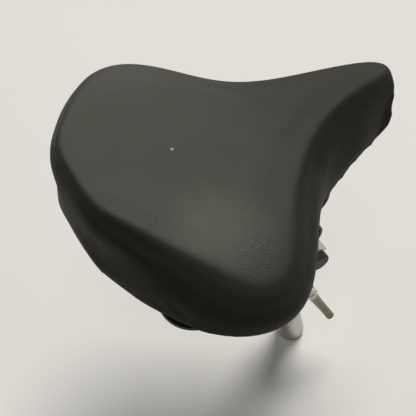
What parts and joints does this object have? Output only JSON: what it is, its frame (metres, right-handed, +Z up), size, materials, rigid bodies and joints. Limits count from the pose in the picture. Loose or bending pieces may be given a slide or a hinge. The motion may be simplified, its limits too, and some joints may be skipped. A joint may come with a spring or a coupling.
{
  "type": "bicycle saddle with seat post",
  "caption": "Wide sprung bicycle saddle with a soft grained top, steel rails and rear coil springs, on a rail clamp and raked seat post with a quick-release collar.",
  "frame": {"origin": "centre of the seat post's lower end, which goes into the bicycle's seat tube", "axes": "+X to the bicycle's front, +Y to its left, +Z up; the post rakes back by 15 degrees"},
  "size_m": [0.2445, 0.2312, 0.382],
  "materials": {
    "saddle_skin": "grained synthetic leather, dull",
    "shell_plastic": "moulded, fine texture",
    "bracket_plastic": "moulded",
    "black_steel": "powder coated black",
    "post_alloy": "bright, polished round",
    "plug_plastic": "moulded",
    "zinc_steel": "zinc plated",
    "cap_plastic": "moulded",
    "collar_alloy": "anodised dark",
    "skewer_steel": "plain drawn",
    "adjuster_alloy": "turned",
    "washer_plastic": "moulded",
    "lever_chrome": "bright plated",
    "rail_steel": "satin black",
    "spring_steel": "satin black"
  },
  "bodies": {
    "post": {"seat_post": "post_alloy", "post_plug": "plug_plastic", "clamp_band": "black_steel"},
    "clamp": {"clamp_bolt": "zinc_steel", "clamp_nut": "zinc_steel", "clamp_cap": "cap_plastic", "inner_cheek_left": "black_steel", "inner_cheek_right": "black_steel", "outer_cheek_left": "black_steel", "outer_cheek_right": "black_steel", "clamp_washer": "zinc_steel", "clamp_tab_washer": "zinc_steel"},
    "saddle": {"cushion": "saddle_skin", "base_shell": "shell_plastic", "nose_bracket": "bracket_plastic", "rear_bridge": "black_steel", "rail_left": "rail_steel", "rail_right": "rail_steel", "spring_left": "spring_steel", "spring_right": "spring_steel", "lower_cup_left": "black_steel", "lower_cup_right": "black_steel", "upper_cup_left": "black_steel", "upper_cup_right": "black_steel", "lower_cup_bolt_left": "zinc_steel", "lower_cup_bolt_right": "zinc_steel", "upper_cup_bolt_left": "zinc_steel", "upper_cup_bolt_right": "zinc_steel"},
    "collar_unit": {"collar": "collar_alloy", "skewer": "skewer_steel", "adjuster": "adjuster_alloy", "cam_washer": "washer_plastic"},
    "lever_arm": {"lever": "lever_chrome"}
  },
  "joints": [
    {"name": "saddle_tilt", "type": "hinge", "parent": "post", "child": "clamp", "pos_m": [-0.04518, 0, 0.23429], "axis": [0, 1, 0], "range_deg": [-12, 12]},
    {"name": "saddle_slide", "type": "slide", "parent": "clamp", "child": "saddle", "axis": [1, 0, 0], "range_m": [-0.002, 0.045]},
    {"name": "collar_slide", "type": "slide", "parent": "post", "child": "collar_unit", "axis": [-0.2588, 0, 0.9659], "range_m": [-0.015, 0.05]},
    {"name": "lever_turn", "type": "hinge", "parent": "collar_unit", "child": "lever_arm", "pos_m": [-0.00838, -0.0184, 0.10853], "axis": [-0.891, 0, -0.454], "range_deg": [0, 150]}
  ]
}
